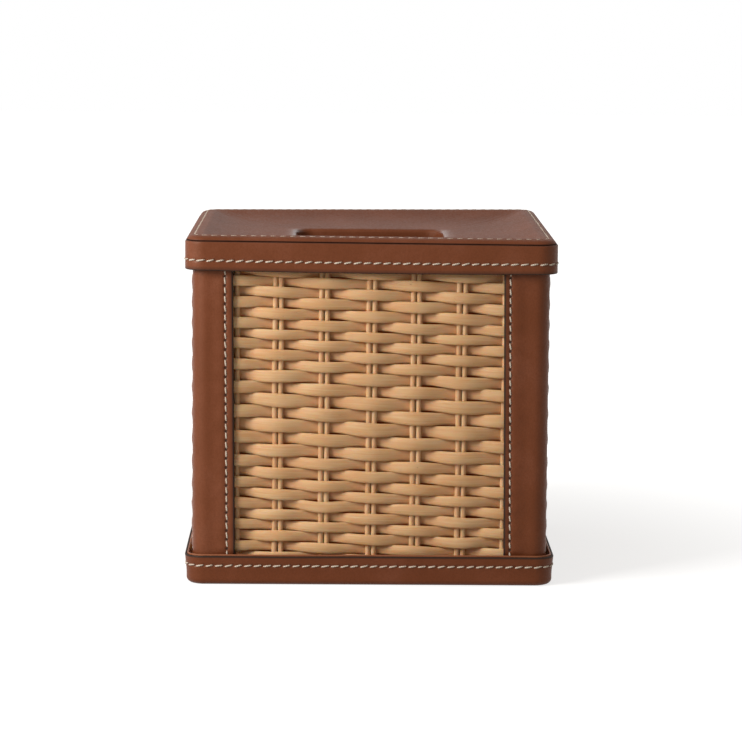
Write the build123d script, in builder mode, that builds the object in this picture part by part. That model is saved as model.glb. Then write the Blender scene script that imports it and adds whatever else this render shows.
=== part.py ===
from build123d import *
from math import atan, cos, degrees, radians, sqrt, tan
import os

# Tissue box of woven rattan and stitched leather. A case of four woven panels between
# leather corners stands in a shallow leather tray, and a leather-covered lid with a
# dished top and a tissue slot lifts off it.
# Millimetres, +Z up, front towards -Y. The origin is the middle of the underside.

os.makedirs("parts", exist_ok=True)

# Whole box
outer_width = 152.0  # across the lid's band, and across the lip of the tray
overall_height = 143.5
lid_clearance = 1.0  # a side, between the leather corners and the lid's inner layer

# Leather and lining thicknesses
band_leather_thickness = 1.0  # outer layer of the lid's band and of the tray
band_lining_thickness = 0.8  # inner layer, sewn to the outer one
corner_leather_thickness = 1.1
top_leather_thickness = 1.7  # top panel with its turned edge
lid_lining_thickness = 0.7
floor_lining_thickness = 1.0

# Corners in plan
outer_corner_radius = 8.0
case_corner_radius = 6.0
corner_ease = 0.5  # how much more a wooden corner is rounded than the leather round it
eased_edge = 0.6  # chamfer of the turned leather edges

# Tray
underside_pad_thickness = 0.6
underside_pad_inset = 7.0
tray_height = 12.1
tray_flare = 0.7  # how far the lip leans out past the foot, a side
tray_edge_radius = 4.0
tray_foot_height = 4.4  # rounded foot below the leaning wall
lip_step = 0.5  # how far the outer layer's cut edge stops below the inner layer's
turned_in_width = 10.0  # leather folded under the base board
base_board_thickness = 4.0

# Case
corner_wing_width = 17.5  # leather from the corner to its sewn edge
side_lining_thickness = 2.5  # covered board behind each woven panel
bottom_rail_height = 3.0
top_rail_height = 5.7
binding_depth = 6.8  # leather over the top edge of the case

# Weave
stake_radius = 1.0
stake_spacing = 2.45  # between the two rods of a pair
pairs_per_side = 7
outer_pair_cover = 0.4  # middle of the outer pairs, in under the edge of the leather
reed_thickness = 1.4
reed_height = 4.0
least_row_gap = 0.5
weave_margin = 0.3  # between the rails and the first and last row
panel_bow = 1.2  # how far a panel swells out in the middle
weave_fit = 0.1

# Lid
band_height = 12.2
lid_board_edge = 3.5
locating_depth = 3.0  # step under the lid that drops inside the case
locating_clearance = 1.0
top_panel_inset = 0.6  # of the top panel's edge behind the band's face
top_panel_roll = 1.0  # how far its edge is rolled down
dish_depth = 4.1
dish_border = 3.5  # flat border round the dished top
slot_length = 63.0
slot_width = 40.0
slot_corner_radius = 9.0
slot_leather_thickness = 1.0

# Heights
tray_bottom = underside_pad_thickness
lip_height = tray_height - lip_step
board_bottom = tray_bottom + band_leather_thickness
board_top = board_bottom + base_board_thickness
seam_height = overall_height - top_leather_thickness
band_bottom = seam_height - band_height
case_top = seam_height - lid_board_edge
carcass_top = case_top - corner_leather_thickness
binding_bottom = case_top - binding_depth
top_rail_bottom = carcass_top - top_rail_height
bottom_rail_top = board_top + bottom_rail_height
locating_bottom = case_top - locating_depth

# Tray
foot_top = tray_bottom + tray_foot_height
tray_lean = degrees(atan(tray_flare / (tray_height - foot_top)))
tray_foot_width = outer_width - 2 * tray_flare
corner_of_edge = tray_edge_radius * (sqrt(2) - 1)  # from the sharp corner to its rounding
inner_edge_chamfer = (
    sqrt(2) * (corner_of_edge + band_leather_thickness) - 2 * band_leather_thickness
)

# Weave and wall layers, measured from the middle of the box
case_width = outer_width - 2 * (band_leather_thickness + band_lining_thickness + lid_clearance)
leather_back = case_width / 2 - corner_leather_thickness
wing_edge = case_width / 2 - corner_wing_width
pair_pitch = 2 * (wing_edge + outer_pair_cover) / (pairs_per_side - 1)
rod_offset = stake_spacing / 2
reed_swing = (stake_radius + reed_thickness / 2 + weave_fit) / (1 - 2 * rod_offset / pair_pitch)
reed_slant = atan(2 * reed_swing / pair_pitch)
reed_half = reed_thickness / 2 / cos(reed_slant)
weave_half = reed_swing + reed_half
stake_plane = leather_back - weave_fit - weave_half
lining_back = stake_plane - weave_half - weave_fit
cavity_half = lining_back - side_lining_thickness
post_size = leather_back - cavity_half
cavity_width = 2 * cavity_half
pair_places = [(i - (pairs_per_side - 1) / 2) * pair_pitch for i in range(pairs_per_side)]
weave_bottom = bottom_rail_top + weave_margin
weave_height = top_rail_bottom - weave_margin - weave_bottom
reed_rows = int(weave_height / (reed_height + least_row_gap))
row_pitch = weave_height / reed_rows

# Lid widths
lid_board_width = outer_width - 2 * band_leather_thickness
locating_width = cavity_width - 2 * locating_clearance

sides = {"front": 0, "right": 90, "back": 180, "left": 270}
corners = {
    "front_left": (-1, -1),
    "front_right": (1, -1),
    "back_right": (1, 1),
    "back_left": (-1, 1),
}


def tray_outline(height, inset):
    """Rounded square of the tray at a height, `inset` inside its outer skin."""
    above_foot = max(0.0, height - foot_top)
    widening = above_foot * tan(radians(tray_lean))
    width = tray_foot_width + 2 * widening - 2 * inset
    radius = outer_corner_radius - tray_flare + widening - inset
    with BuildSketch(Plane.XY.offset(height)) as outline:
        RectangleRounded(width, width, radius)
    return outline.sketch


def tray_wall(bottom, top, inset, mode=Mode.ADD):
    """Leaning wall between two heights."""
    extrude(tray_outline(bottom, inset), amount=top - bottom, taper=-tray_lean, mode=mode)


def board_block(top):
    """Upright block inside the rounded foot, its lower edge taken off."""
    with BuildPart() as block:
        extrude(tray_outline(board_bottom, band_leather_thickness), amount=top - board_bottom)
        chamfer(block.faces().sort_by(Axis.Z)[0].edges(), inner_edge_chamfer)
    return block.part


def side_plane(height, angle):
    """Level plane turned so that its -Y looks out of the side at that angle."""
    return Plane.XY.offset(height).rotated((0, 0, angle))


def swell(x):
    """How far the woven panel stands out at x, from nothing at the leather to the full bow."""
    return panel_bow * max(0.0, 1 - (x / wing_edge) ** 2)


def slot_outline(height, margin):
    """Rounded slot at a height, grown by a margin all round."""
    length = slot_length + 2 * margin
    width = slot_width + 2 * margin
    with BuildSketch(Plane.XY.offset(height)) as outline:
        RectangleRounded(length, width, slot_corner_radius + margin)
    return outline.sketch


def cut_corner_outline(height, length, width, corner_radius):
    """Rectangle whose corners are cut where a rounding of that radius would touch the cut."""
    with BuildSketch(Plane.XY.offset(height)) as outline:
        Rectangle(length, width)
        chamfer(outline.vertices(), corner_radius * (2 - sqrt(2)))
    return outline.sketch


def dish(rim_height, slot_margin):
    """Shallow eight-sided funnel from the flat border down to the slot."""
    rim_width = outer_width - 2 * dish_border
    rim_radius = outer_corner_radius - dish_border
    rim = cut_corner_outline(rim_height, rim_width, rim_width, rim_radius)
    throat = cut_corner_outline(
        rim_height - dish_depth,
        slot_length + 2 * slot_margin,
        slot_width + 2 * slot_margin,
        slot_corner_radius + slot_margin,
    )
    with BuildPart() as funnel:
        ConvexPolyhedron([Vector(corner) for corner in rim.vertices() + throat.vertices()])
    return funnel.part


def save(builder, name):
    """Label the finished piece and write its file."""
    builder.part.label = name
    export_step(builder.part, f"parts/{name}.step")


# ---------------------------------------------------------------- tray

# Outer leather, moulded round the edge of the base board and turned in under it.
with BuildPart() as base_rim_leather:
    extrude(tray_outline(tray_bottom, 0), amount=tray_foot_height)
    fillet(base_rim_leather.faces().sort_by(Axis.Z)[0].edges(), tray_edge_radius)
    tray_wall(foot_top, lip_height, 0)
    add(board_block(foot_top), mode=Mode.SUBTRACT)
    tray_wall(foot_top, lip_height, band_leather_thickness, Mode.SUBTRACT)
    with BuildSketch(Plane.XY.offset(tray_bottom)):
        window = tray_foot_width - 2 * (tray_edge_radius + turned_in_width)
        Rectangle(window, window)
    extrude(amount=band_leather_thickness, mode=Mode.SUBTRACT)
save(base_rim_leather, "base_rim_leather")

# Board inside the fold, its lower edge taken off to lie in it.
with BuildPart() as base_board:
    add(board_block(board_top))
save(base_board, "base_board")

# Second layer of leather inside the rim, from the board up to the lip.
with BuildPart() as base_rim_lining:
    tray_wall(board_top, tray_height, band_leather_thickness)
    inner_face = band_leather_thickness + band_lining_thickness
    tray_wall(board_top, tray_height, inner_face, Mode.SUBTRACT)
save(base_rim_lining, "base_rim_lining")

# Suede pad that covers the turned-in leather and stands on the table.
with BuildPart() as base_underside_pad:
    with BuildSketch():
        pad_width = tray_foot_width - 2 * underside_pad_inset
        RectangleRounded(pad_width, pad_width, outer_corner_radius)
    extrude(amount=underside_pad_thickness)
save(base_underside_pad, "base_underside_pad")

# Suede floor inside the case.
with BuildPart() as base_floor_lining:
    with BuildSketch(Plane.XY.offset(board_top)):
        Rectangle(cavity_width, cavity_width)
    extrude(amount=floor_lining_thickness)
save(base_floor_lining, "base_floor_lining")

# ---------------------------------------------------------------- case carcass

for corner, (x_side, y_side) in corners.items():
    # Wooden post with a rounded outer corner.
    with BuildPart() as corner_post:
        with BuildSketch(Plane.XY.offset(board_top)):
            RectangleRounded(
                2 * leather_back,
                2 * leather_back,
                case_corner_radius - corner_leather_thickness + corner_ease,
            )
            post_place = leather_back - post_size / 2
            with Locations((x_side * post_place, y_side * post_place)):
                Rectangle(post_size, post_size, mode=Mode.INTERSECT)
        extrude(amount=carcass_top - board_top)
    save(corner_post, f"corner_post_{corner}")

    # Leather angle over the post and the ends of both panels.
    with BuildPart() as corner_leather:
        with BuildSketch(Plane.XY.offset(board_top)):
            RectangleRounded(case_width, case_width, case_corner_radius)
            RectangleRounded(
                2 * leather_back,
                2 * leather_back,
                case_corner_radius - corner_leather_thickness,
                mode=Mode.SUBTRACT,
            )
            wing_place = case_width / 2 - corner_wing_width / 2
            with Locations((x_side * wing_place, y_side * wing_place)):
                Rectangle(corner_wing_width, corner_wing_width, mode=Mode.INTERSECT)
        extrude(amount=binding_bottom - board_top)
    save(corner_leather, f"corner_leather_{corner}")

for side, angle in sides.items():
    rail_depth = leather_back - lining_back
    rail_place = (0, -(leather_back + lining_back) / 2)

    # Rails between the posts, under the first row of the weave and over the last.
    with BuildPart() as bottom_rail:
        with BuildSketch(side_plane(board_top, angle)):
            with Locations(rail_place):
                Rectangle(cavity_width, rail_depth)
        extrude(amount=bottom_rail_height)
    save(bottom_rail, f"bottom_rail_{side}")

    with BuildPart() as top_rail:
        with BuildSketch(side_plane(top_rail_bottom, angle)):
            with Locations(rail_place):
                Rectangle(cavity_width, rail_depth)
        extrude(amount=top_rail_height)
    save(top_rail, f"top_rail_{side}")

    # Covered board that lines the case behind the weave.
    with BuildPart() as side_lining:
        with BuildSketch(side_plane(board_top, angle)):
            with Locations((0, -(lining_back + cavity_half) / 2)):
                Rectangle(cavity_width, side_lining_thickness)
        extrude(amount=carcass_top - board_top)
    save(side_lining, f"side_lining_{side}")

# Leather folded over the top edge of the case, all the way round.
with BuildPart() as case_rim_binding:
    with BuildSketch(Plane.XY.offset(binding_bottom)):
        RectangleRounded(case_width, case_width, case_corner_radius)
    extrude(amount=binding_depth)
    chamfer(case_rim_binding.faces().sort_by(Axis.Z)[-1].edges(), eased_edge)
    with BuildSketch(Plane.XY.offset(binding_bottom)):
        RectangleRounded(
            2 * leather_back,
            2 * leather_back,
            case_corner_radius - corner_leather_thickness,
        )
    extrude(amount=carcass_top - binding_bottom, mode=Mode.SUBTRACT)
    with BuildSketch(Plane.XY.offset(carcass_top)):
        Rectangle(cavity_width, cavity_width)
    extrude(amount=corner_leather_thickness, mode=Mode.SUBTRACT)
save(case_rim_binding, "case_rim_binding")

# ---------------------------------------------------------------- woven panels


def reed_outline(first_side):
    """Plan of one reed: it peaks outside one pair and inside the next, by turns."""
    line = [(-cavity_half + weave_fit, 0.0)]
    for i, x in enumerate(pair_places):
        line.append((x, first_side * (-1) ** i * reed_swing + swell(x)))
    line.append((cavity_half - weave_fit, 0.0))
    outside = [(x, -stake_plane - y - reed_half) for x, y in line]
    inside = [(x, -stake_plane - y + reed_half) for x, y in line]
    return outside + inside[::-1]


for side, angle in sides.items():
    # Pairs of upright rods between the rails.
    with BuildPart() as weave_stakes:
        with BuildSketch(side_plane(bottom_rail_top, angle)):
            for x in pair_places:
                rod_depth = -stake_plane - swell(x)
                with Locations((x - rod_offset, rod_depth), (x + rod_offset, rod_depth)):
                    RegularPolygon(stake_radius, 8)
        extrude(amount=top_rail_bottom - bottom_rail_top)
    save(weave_stakes, f"weave_stakes_{side}")

    # Flat reeds woven in and out of the pairs, each row the other way to the last.
    with BuildPart() as weave_reeds:
        for first_row, first_side in ((0, -1), (1, 1)):
            rows = range(first_row, reed_rows, 2)
            reed_gap = (row_pitch - reed_height) / 2
            heights = [weave_bottom + row * row_pitch + reed_gap for row in rows]
            with BuildSketch(*[side_plane(height, angle) for height in heights]):
                with BuildLine():
                    Polyline(*reed_outline(first_side), close=True)
                make_face()
            extrude(amount=reed_height)
    save(weave_reeds, f"weave_reeds_{side}")

# ---------------------------------------------------------------- lid

# Board dished from above, with a step below that drops inside the case.
with BuildPart() as lid_board:
    with BuildSketch(Plane.XY.offset(case_top)):
        RectangleRounded(
            lid_board_width,
            lid_board_width,
            outer_corner_radius - band_leather_thickness + corner_ease,
        )
    extrude(amount=lid_board_edge)
    with BuildSketch(Plane.XY.offset(case_top)):
        Rectangle(locating_width, locating_width)
    extrude(amount=-locating_depth)
    add(dish(seam_height, slot_leather_thickness), mode=Mode.SUBTRACT)
    extrude(
        slot_outline(locating_bottom, slot_leather_thickness),
        amount=seam_height - locating_bottom,
        mode=Mode.SUBTRACT,
    )
save(lid_board, "lid_board")

# Top leather: a flat border, the dish, and the edge turned down inside the slot.
with BuildPart() as lid_top_leather:
    with BuildSketch(Plane.XY.offset(seam_height)):
        panel_width = outer_width - 2 * top_panel_inset
        RectangleRounded(panel_width, panel_width, outer_corner_radius - top_panel_inset)
    extrude(amount=top_leather_thickness)
    chamfer(lid_top_leather.faces().sort_by(Axis.Z)[-1].edges(), top_panel_roll)
    add(dish(seam_height, slot_leather_thickness))
    extrude(
        slot_outline(locating_bottom, slot_leather_thickness),
        amount=seam_height - dish_depth - locating_bottom,
    )
    add(dish(overall_height, 0), mode=Mode.SUBTRACT)
    extrude(
        slot_outline(locating_bottom, 0),
        amount=overall_height - locating_bottom,
        mode=Mode.SUBTRACT,
    )
save(lid_top_leather, "lid_top_leather")

# Band round the lid: outer leather up to the seam, inner leather up to the board.
with BuildPart() as lid_band_leather:
    with BuildSketch(Plane.XY.offset(band_bottom)):
        RectangleRounded(outer_width, outer_width, outer_corner_radius)
    extrude(amount=band_height)
    chamfer(lid_band_leather.faces().sort_by(Axis.Z)[-1].edges(), eased_edge)
    with BuildSketch(Plane.XY.offset(band_bottom)):
        RectangleRounded(
            lid_board_width,
            lid_board_width,
            outer_corner_radius - band_leather_thickness,
        )
    extrude(amount=band_height, mode=Mode.SUBTRACT)
save(lid_band_leather, "lid_band_leather")

with BuildPart() as lid_band_lining:
    with BuildSketch(Plane.XY.offset(band_bottom)):
        RectangleRounded(
            lid_board_width,
            lid_board_width,
            outer_corner_radius - band_leather_thickness,
        )
        RectangleRounded(
            lid_board_width - 2 * band_lining_thickness,
            lid_board_width - 2 * band_lining_thickness,
            outer_corner_radius - band_leather_thickness - band_lining_thickness,
            mode=Mode.SUBTRACT,
        )
    extrude(amount=case_top - band_bottom)
save(lid_band_lining, "lid_band_lining")

# Suede under the step of the lid, cut out for the slot.
with BuildPart() as lid_underside_lining:
    with BuildSketch(Plane.XY.offset(locating_bottom - lid_lining_thickness)):
        Rectangle(locating_width, locating_width)
    extrude(amount=lid_lining_thickness)
    extrude(
        slot_outline(locating_bottom, 0), amount=-lid_lining_thickness, mode=Mode.SUBTRACT
    )
save(lid_underside_lining, "lid_underside_lining")
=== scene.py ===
import bpy
import bmesh
import numpy as np
from mathutils import Matrix, Vector


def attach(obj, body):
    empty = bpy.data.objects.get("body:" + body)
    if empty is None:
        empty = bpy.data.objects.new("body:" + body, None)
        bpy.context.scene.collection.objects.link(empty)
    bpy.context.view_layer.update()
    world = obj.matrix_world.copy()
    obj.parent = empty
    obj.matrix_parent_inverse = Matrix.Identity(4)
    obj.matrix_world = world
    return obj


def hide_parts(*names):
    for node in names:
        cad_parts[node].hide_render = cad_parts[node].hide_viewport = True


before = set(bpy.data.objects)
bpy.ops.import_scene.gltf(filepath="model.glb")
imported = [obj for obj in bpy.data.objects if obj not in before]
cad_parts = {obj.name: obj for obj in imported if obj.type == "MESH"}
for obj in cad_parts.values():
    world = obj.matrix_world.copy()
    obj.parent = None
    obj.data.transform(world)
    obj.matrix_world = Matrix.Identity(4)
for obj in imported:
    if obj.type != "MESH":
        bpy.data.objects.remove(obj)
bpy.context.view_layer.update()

# ------------------------------------------------ leather of the tray
# The outer leather of the tray is one strip of vegetable-tanned hide, moulded wet round the
# foot of the base board and turned in under it. Its cut lip is rounded and painted dark, and
# a row of saddle stitches joins it to the lighter strip inside. All sizes are millimetres.


def way_round(half, radius):
    """Length of the whole way round a square with rounded corners."""
    return 8 * (half - radius) + 2 * np.pi * radius


def round_square(walk, half, radius):
    """Square with rounded corners, walked anticlockwise from the middle of the front.

    A walk ends at s * (half - radius) + n * radius. s is the place on the square of corner
    centres, scaled to -1..1, and n is the outward direction: along a side s slides and n
    keeps still, round a corner s keeps still and n turns a quarter."""
    flat, arc = 2 * (half - radius), np.pi / 2 * radius
    side, rest = np.divmod(np.asarray(walk, float) + flat / 2, flat + arc)
    slide = np.clip(rest / flat, 0, 1) * 2 - 1
    angle = side * np.pi / 2
    turn = angle + np.clip((rest - flat) / arc, 0, 1) * np.pi / 2
    cos, sin = np.cos(angle), np.sin(angle)
    s = np.stack([slide * cos + sin, slide * sin - cos], -1)
    return s, np.stack([np.sin(turn), -np.cos(turn)], -1)


def grid_lines(half, radius, along_side, round_corner):
    """Walks of the grid lines round the box, with even steps along each side, closer towards
    its ends, and even steps round each corner. After them come the length of the whole way
    round and the box's own two measures."""
    flat, arc = 2 * (half - radius), np.pi / 2 * radius
    even = np.linspace(-1, 1, along_side, endpoint=False)
    side = flat / 2 * (0.8 * even + 0.2 * np.sin(np.pi / 2 * even))
    corner = flat / 2 + np.linspace(0, arc, round_corner, endpoint=False)
    way = np.concatenate([side, corner]) + (flat + arc) * np.arange(4)[:, None]
    return way.ravel(), 4 * (flat + arc), half, radius


def skin(name, points, u, v, close_rows=False, close_columns=False, marks=None, weld=False):
    """Piece made of grids of points: sheets x rows x columns x 3.

    Each cell of a grid is a four-sided face, a closed direction joins its last line to its
    first, and the UV map holds u and v, also in millimetres. marks are values kept at the
    points, and weld joins points that lie in one place, which closes ends and poles."""
    points = np.asarray(points, float)
    sheets, rows, columns = points.shape[:3]
    number = np.arange(sheets * rows * columns).reshape(sheets, rows, columns)
    if close_rows:
        number = np.concatenate([number, number[:, :1]], 1)
    if close_columns:
        number = np.concatenate([number, number[:, :, :1]], 2)

    def cells(grid):
        four = [grid[:, :-1, :-1], grid[:, :-1, 1:], grid[:, 1:, 1:], grid[:, 1:, :-1]]
        return np.stack(four, 3)

    faces = cells(number).reshape(-1, 4)
    uv = np.stack(np.broadcast_arrays(u, v, np.zeros(number.shape))[:2], -1)
    mesh = bpy.data.meshes.new(name)
    mesh.from_pydata((points.reshape(-1, 3) / 1000).tolist(), [], faces.tolist())
    walks = mesh.uv_layers.new(name="walk").data
    walks.foreach_set("uv", cells(uv).astype(np.float32).ravel())
    for mark, values in (marks or {}).items():
        values = np.broadcast_to(values, points.shape[:3]).astype(np.float32).ravel()
        mesh.attributes.new(mark, "FLOAT", "POINT").data.foreach_set("value", values)
    if weld:
        loose = bmesh.new()
        loose.from_mesh(mesh)
        bmesh.ops.remove_doubles(loose, verts=loose.verts, dist=1e-7)
        loose.to_mesh(mesh)
        loose.free()
    mesh.shade_smooth()
    piece = bpy.data.objects.new(name, mesh)
    bpy.context.scene.collection.objects.link(piece)
    return piece


def swept(name, profile, way, edge, row, rise=None, rubbed=0.0, start=0.0):
    """Closed profile carried round the box. Each profile point is half-length, half-width,
    corner radius and height, so every ring is the round square of round_square() with its
    own sides and corners. u is the walk from the first stitch, which lies at start, and v
    the distance from the stitch row. edge and rubbed say where the profile is painted and
    where hands have smoothed it."""
    walk, whole, half, radius = way
    s, n = round_square(walk, half, radius)
    sides, corner, height = profile[:, None, :2], profile[:, None, 2:3], profile[:, 3]
    points = np.empty((len(profile), len(walk), 3))
    points[..., :2] = s * (sides - corner) + n * corner
    points[..., 2] = height[:, None]
    if rise is not None:
        points = points + rise(points, walk)
    u = np.append(walk, walk[0] + whole) - start
    row = np.broadcast_to(row, len(profile))
    v = np.append(row, row[0])[:, None]
    marks = {"painted": np.reshape(edge, (1, -1, 1)), "rubbed": np.asarray(rubbed)[None]}
    return skin(name, points[None], u, v, True, True, marks)


def bend(centre, radius, start, end, steps):
    """Points of an arc in the profile: outward and up from a centre, angles in degrees."""
    angle = np.radians(np.linspace(start, end, steps))
    arc = zip(radius * np.cos(angle), radius * np.sin(angle))
    return [(centre[0] + out, centre[1] + up) for out, up in arc]


def ring(outline, half, radius):
    """Profile of the box's own outline: each point lies inside the outer skin by some
    amount, and its corner radius is smaller by the same amount, down to 0.25."""
    out, up = np.array(outline).T
    return np.stack([out, out, np.maximum(radius - (half - out), 0.25), up], -1)


def ramp(x, start, end):
    """Smooth step from 0 at start to 1 at end: 3 t^2 - 2 t^3, where t is the share of the
    way from start to end."""
    t = np.clip((x - start) / (end - start), 0, 1)
    return t * t * (3 - 2 * t)


hide_thick, stitch_pitch = 1.0, 4.0
tray_half, tray_radius = 76.4, 8.4
foot_half, foot_round, foot_top = 75.7, 2.3, 5.0
lip_top, lip_round = 12.2, 0.45
tray_lean = 0.7 / (lip_top - foot_top)
tray_seam, tray_start = 8.1, 1.8
tray_way = grid_lines(tray_half, tray_radius, 40, 12)


def lean(height):
    """Half-width of the tray's wall at a height: it is upright up to the top of the foot,
    and above that it leans out evenly."""
    return foot_half + max(0.0, height - foot_top) * tray_lean


def settle(points, walk):
    """The moulded wall isn't quite true: its height swells and dips with two sines of the
    walk, from nothing at the foot to the full amount at the lip."""
    wave = 0.5 * np.sin(walk / 23.0 + 0.6) + 0.3 * np.sin(walk / 9.7 + 2.0)
    shift = np.zeros_like(points)
    shift[..., 2] = 0.16 * wave * ramp(points[..., 2], 7, 12)
    return shift


# The profile starts at the end of the turned-in flap. It goes under the foot and up the wall
# to the lip, and comes back the same way a hide's thickness further in.
foot_centre = (foot_half - foot_round, foot_round + 0.05)
wall_heights = (3.0, 4.2, 5.6, 7.2, 7.8, 8.1, 8.4, 9.0, 10.2, 11.2)
rim_line = [(61.3, 0.95), (61.45, 0.66), (61.9, 0.6), (66.0, 0.5), (70.0, 0.25)]
rim_line += [(foot_centre[0] - 0.2, 0.05)] + bend(foot_centre, foot_round, -88, 0, 9)
rim_line += [(lean(z), z) for z in wall_heights]
rim_line += bend((lean(lip_top) - lip_round, lip_top - lip_round), lip_round, 0, 75, 5)
rim_line += [(lean(lip_top) - 0.75, lip_top - 0.02)]
rim_line += [(lean(z) - hide_thick, z) for z in (11.8, 8.0, 5.0)]
rim_line += bend(foot_centre, foot_round - hide_thick, 0, -88, 5)
rim_line += [(66.0, 1.5), (61.8, 1.6), (61.4, 1.5)]
rim_profile = ring(rim_line, tray_half, tray_radius)
height = rim_profile[:, 3]
painted = ramp(height, lip_top - 0.75, lip_top - 0.4)
from_seam = height - tray_seam
rim = swept("tray_leather", rim_profile, tray_way, painted, from_seam, settle, start=tray_start)
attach(rim, "case")
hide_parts("base_rim_leather")


def fill(tree, node, sockets):
    """Set the inputs of a node, or link them where the value is another node's output."""
    for socket, value in sockets.items():
        if isinstance(value, bpy.types.NodeSocket):
            tree.links.new(value, node.inputs[socket])
        else:
            node.inputs[socket].default_value = value


def place(tree, kind, sockets=None, **settings):
    """Put a node in a tree, set its options, and fill its inputs."""
    node = tree.nodes.new(kind)
    for option, value in settings.items():
        setattr(node, option, value)
    fill(tree, node, sockets or {})
    return node


def sums(tree, operation, *values):
    """One step of arithmetic on values or sockets."""
    return place(tree, "ShaderNodeMath", dict(enumerate(values)), operation=operation).outputs[0]


def times(tree, first, second):
    """One value times another."""
    return sums(tree, "MULTIPLY", first, second)


def weighed(tree, first, much, second, little):
    """Sum of two values, each times its own weight."""
    return sums(tree, "ADD", times(tree, first, much), times(tree, second, little))


def blend(tree, amount, first, second):
    """First colour where the amount is 0, second where it is 1."""
    sockets = {0: amount, 6: first, 7: second}
    return place(tree, "ShaderNodeMix", sockets, data_type="RGBA").outputs[2]


def step(tree, value, start, end, low=0.0, high=1.0):
    """Smooth step from low at start to high at end."""
    sockets = {"Value": value, "From Min": start, "From Max": end, "To Min": low, "To Max": high}
    return place(tree, "ShaderNodeMapRange", sockets, interpolation_type="SMOOTHSTEP").outputs[0]


def distance(tree, first, second):
    """Root of the sum of two squares."""
    squares = [sums(tree, "POWER", value, 2.0) for value in (first, second)]
    return sums(tree, "SQRT", sums(tree, "ADD", *squares))


def noise(tree, vector, scale, detail, **more):
    """Value of a noise texture."""
    sockets = {"Vector": vector, "Scale": scale, "Detail": detail, **more}
    return place(tree, "ShaderNodeTexNoise", sockets).outputs[0]


def split(tree, vector):
    """The three parts of a vector."""
    return place(tree, "ShaderNodeSeparateXYZ", {0: vector}).outputs


def bump(tree, height, tall=0.001):
    """Normal of a surface with small heights: tall is how many metres a height of 1 is."""
    return place(tree, "ShaderNodeBump", {"Height": height, "Distance": tall}).outputs[0]


def kept_mark(tree, name):
    """Value that the piece keeps at its points, or 0 where it keeps none."""
    return place(tree, "ShaderNodeAttribute", attribute_name=name).outputs["Fac"]


def walk_map(tree):
    """The piece's own UV map, in millimetres."""
    return place(tree, "ShaderNodeUVMap", uv_map="walk").outputs[0]


def millimetres(tree):
    """Object coordinates in millimetres."""
    sockets = {0: place(tree, "ShaderNodeTexCoord").outputs["Object"], "Scale": 1000.0}
    return place(tree, "ShaderNodeVectorMath", sockets, operation="SCALE").outputs[0]


def new_material(name):
    """Material with nodes, its tree, and its Principled shader."""
    material = bpy.data.materials.new(name)
    material.use_nodes = True
    return material, material.node_tree, material.node_tree.nodes["Principled BSDF"]


def effect(name, inputs, outputs):
    """Shader node group with named inputs and outputs, and its two end nodes."""
    tree = bpy.data.node_groups.new(name, "ShaderNodeTree")
    for socket, (kind, value) in inputs.items():
        kind = "NodeSocket" + kind
        made = tree.interface.new_socket(socket, in_out="INPUT", socket_type=kind)
        if value is not None:
            made.default_value = value
    for socket, kind in outputs.items():
        tree.interface.new_socket(socket, in_out="OUTPUT", socket_type="NodeSocket" + kind)
    return tree, tree.nodes.new("NodeGroupInput").outputs, tree.nodes.new("NodeGroupOutput")


def rgb(red, green, blue):
    """Colour written as on a screen, 0 to 255, turned to the linear values of a shader."""
    c = np.array([red, green, blue]) / 255
    return (*np.where(c > 0.04045, ((c + 0.055) / 1.055) ** 2.4, c / 12.92), 1.0)


# Grain of the hide: clouds in the dye, small flecks, and fine pebbles with dark between them.
looks = {"Colour": "Color", "Roughness": "Float", "Height": "Float"}
dye = "Color", rgb(120, 62, 36)
sockets = {"Dye": dye, "Clouds": ("Float", 0.35), "Pebble depth": ("Float", 0.02)}
hide, given, result = effect("hide_grain", sockets, looks)
at = millimetres(hide)
cloud = noise(hide, at, 0.05, 4.0, Roughness=0.62)
fleck = noise(hide, at, 0.9, 3.0, Roughness=0.6)
sockets = {"Vector": at, "Scale": 1.5, "Smoothness": 0.5}
pebble = place(hide, "ShaderNodeTexVoronoi", sockets, feature="SMOOTH_F1").outputs[0]
sockets = {"Color": given["Dye"], "Saturation": 1.08, "Value": 0.62}
deep = place(hide, "ShaderNodeHueSaturation", sockets).outputs[0]
sockets = {"Color": given["Dye"], "Saturation": 0.92, "Value": 1.3}
pale = place(hide, "ShaderNodeHueSaturation", sockets).outputs[0]
dark_part = times(hide, step(hide, cloud, 0.62, 0.32), given["Clouds"])
pale_part = times(hide, step(hide, cloud, 0.5, 0.75), given["Clouds"])
dyed = blend(hide, pale_part, blend(hide, dark_part, given["Dye"], deep), pale)
dyed = blend(hide, times(hide, step(hide, fleck, 0.56, 0.36), 0.22), dyed, deep)
dyed = blend(hide, times(hide, step(hide, pebble, 0.45, 0.8), 0.18), dyed, deep)
matt = step(hide, fleck, 0.3, 0.7, 0.40, 0.52), step(hide, pebble, 0.3, 0.8, 0.0, 0.08)
domes = times(hide, step(hide, pebble, 0.75, 0.1), given["Pebble depth"])
grain_height = sums(hide, "ADD", domes, times(hide, fleck, 0.03))
fill(hide, result, {"Colour": dyed, "Roughness": sums(hide, "ADD", *matt), "Height": grain_height})

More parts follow.
